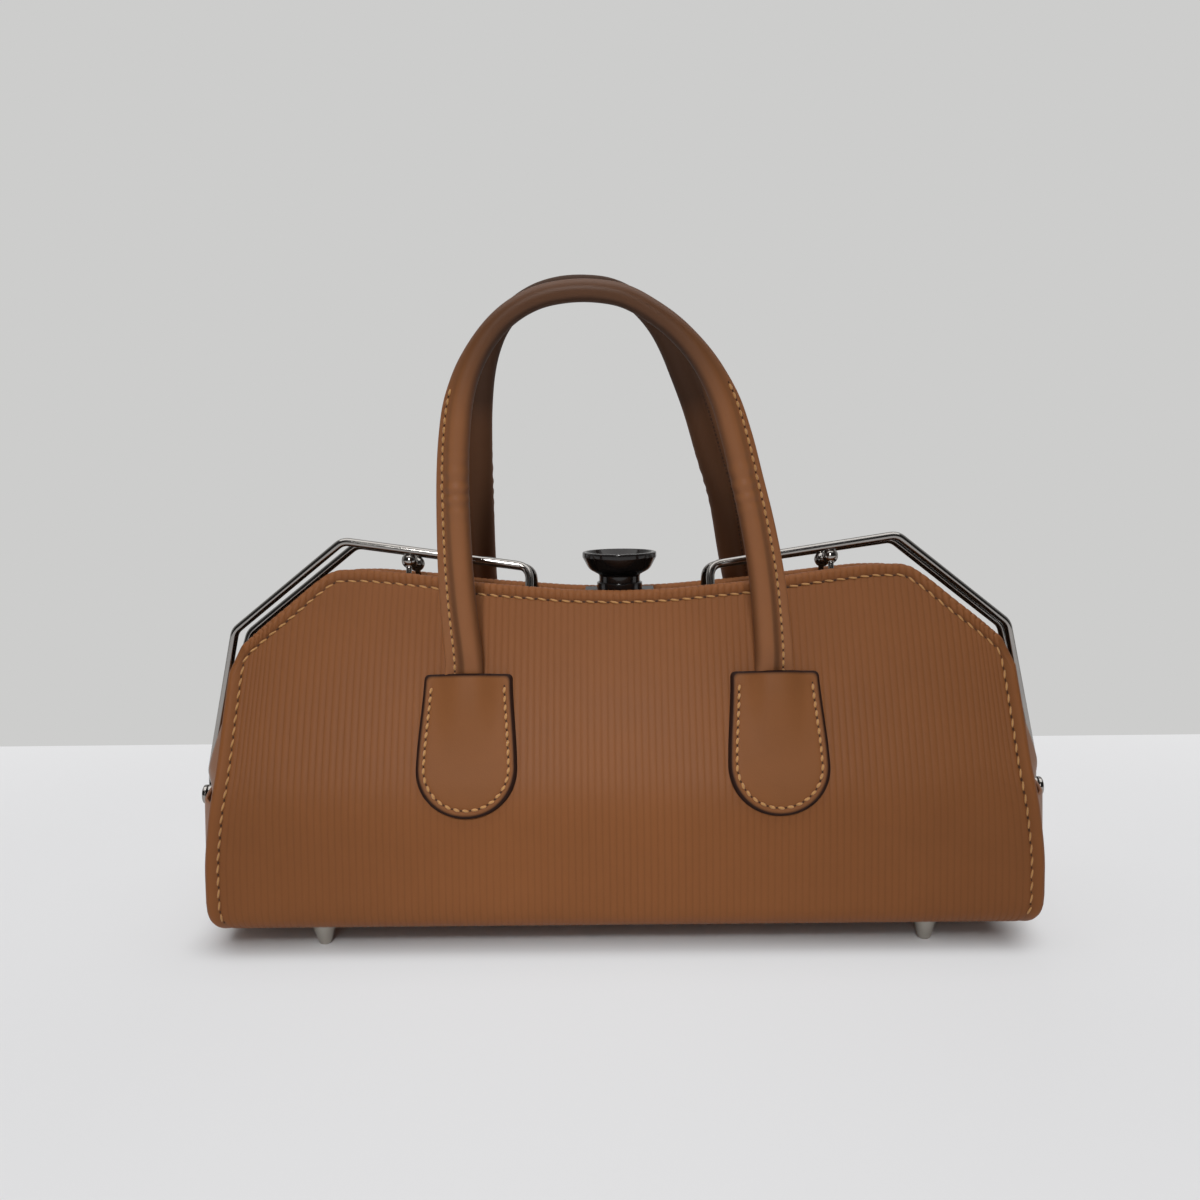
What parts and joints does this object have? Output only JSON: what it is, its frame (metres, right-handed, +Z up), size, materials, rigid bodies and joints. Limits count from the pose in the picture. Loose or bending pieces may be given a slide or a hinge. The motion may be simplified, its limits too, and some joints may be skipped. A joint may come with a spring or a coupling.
{
  "type": "top handle bag",
  "caption": "Structured top handle bag of ribbed brown leather on a hinged wire frame, with rolled handles, sewn tabs, a black press knob and metal feet.",
  "frame": {"origin": "on the floor under the middle of the bag", "axes": "+X along the bag to the right seen from the front, front towards -Y, +Z up"},
  "size_m": [0.3692, 0.1286, 0.2725],
  "materials": {
    "body_leather": "satin ribbed emboss",
    "tab_leather": "satin smooth",
    "handle_leather": "satin smooth, rolled",
    "lining": "woven, matt",
    "board": "matt",
    "frame_metal": "polished dark gunmetal",
    "knob_black": "glossy black",
    "foot_metal": "satin nickel",
    "steel": "satin"
  },
  "bodies": {
    "base": {"base_board": "board", "base_lining": "lining", "base_wrap": "body_leather", "front_fold": "body_leather", "front_left_foot": "foot_metal", "front_left_washer": "steel", "front_right_foot": "foot_metal", "front_right_washer": "steel", "left_gusset": "body_leather", "left_hinge_pin": "frame_metal", "left_hinge_plate": "frame_metal", "left_lower_rivet": "frame_metal", "left_upper_rivet": "frame_metal", "rear_fold": "body_leather", "rear_left_foot": "foot_metal", "rear_left_washer": "steel", "rear_right_foot": "foot_metal", "rear_right_washer": "steel", "right_gusset": "body_leather", "right_hinge_pin": "frame_metal", "right_hinge_plate": "frame_metal", "right_lower_rivet": "frame_metal", "right_upper_rivet": "frame_metal"},
    "front_jaw": {"front_frame": "steel", "front_left_ball": "frame_metal", "front_left_handle_end": "handle_leather", "front_left_tab": "tab_leather", "front_left_wire": "frame_metal", "front_lining": "lining", "front_panel": "body_leather", "front_right_ball": "frame_metal", "front_right_handle_end": "handle_leather", "front_right_tab": "tab_leather", "front_right_wire": "frame_metal", "lock_keeper": "steel"},
    "rear_jaw": {"knob_spring": "steel", "latch_leaf": "steel", "lock_plate": "steel", "lock_sleeve": "knob_black", "rear_frame": "steel", "rear_left_ball": "frame_metal", "rear_left_handle_end": "handle_leather", "rear_left_tab": "tab_leather", "rear_left_wire": "frame_metal", "rear_lining": "lining", "rear_panel": "body_leather", "rear_right_ball": "frame_metal", "rear_right_handle_end": "handle_leather", "rear_right_tab": "tab_leather", "rear_right_wire": "frame_metal"},
    "knob": {"knob_clip": "steel", "lock_knob": "knob_black"},
    "front_handle": {"front_handle": "handle_leather"},
    "rear_handle": {"rear_handle": "handle_leather"}
  },
  "joints": [
    {"name": "front_jaw_open", "type": "hinge", "parent": "base", "child": "front_jaw", "pos_m": [0, 0, 0.051], "axis": [1, 0, 0], "range_deg": [0, 32], "deforming": ["front_fold", "latch_leaf"]},
    {"name": "rear_jaw_open", "type": "hinge", "parent": "base", "child": "rear_jaw", "pos_m": [0, 0, 0.051], "axis": [-1, 0, 0], "range_deg": [0, 32], "deforming": ["rear_fold", "latch_leaf"]},
    {"name": "front_handle_swing", "type": "hinge", "parent": "front_jaw", "child": "front_handle", "pos_m": [0, -0.04347, 0.1165], "axis": [1, 0, 0], "range_deg": [-15, 70]},
    {"name": "rear_handle_swing", "type": "hinge", "parent": "rear_jaw", "child": "rear_handle", "pos_m": [0, 0.04347, 0.1165], "axis": [-1, 0, 0], "range_deg": [-5, 70]},
    {"name": "knob_press", "type": "slide", "parent": "rear_jaw", "child": "knob", "axis": [0, 0, -1], "range_m": [0, 0.0025], "stiffness_N_per_m": 400, "springref_m": -0.005, "deforming": ["knob_spring", "latch_leaf"]}
  ]
}
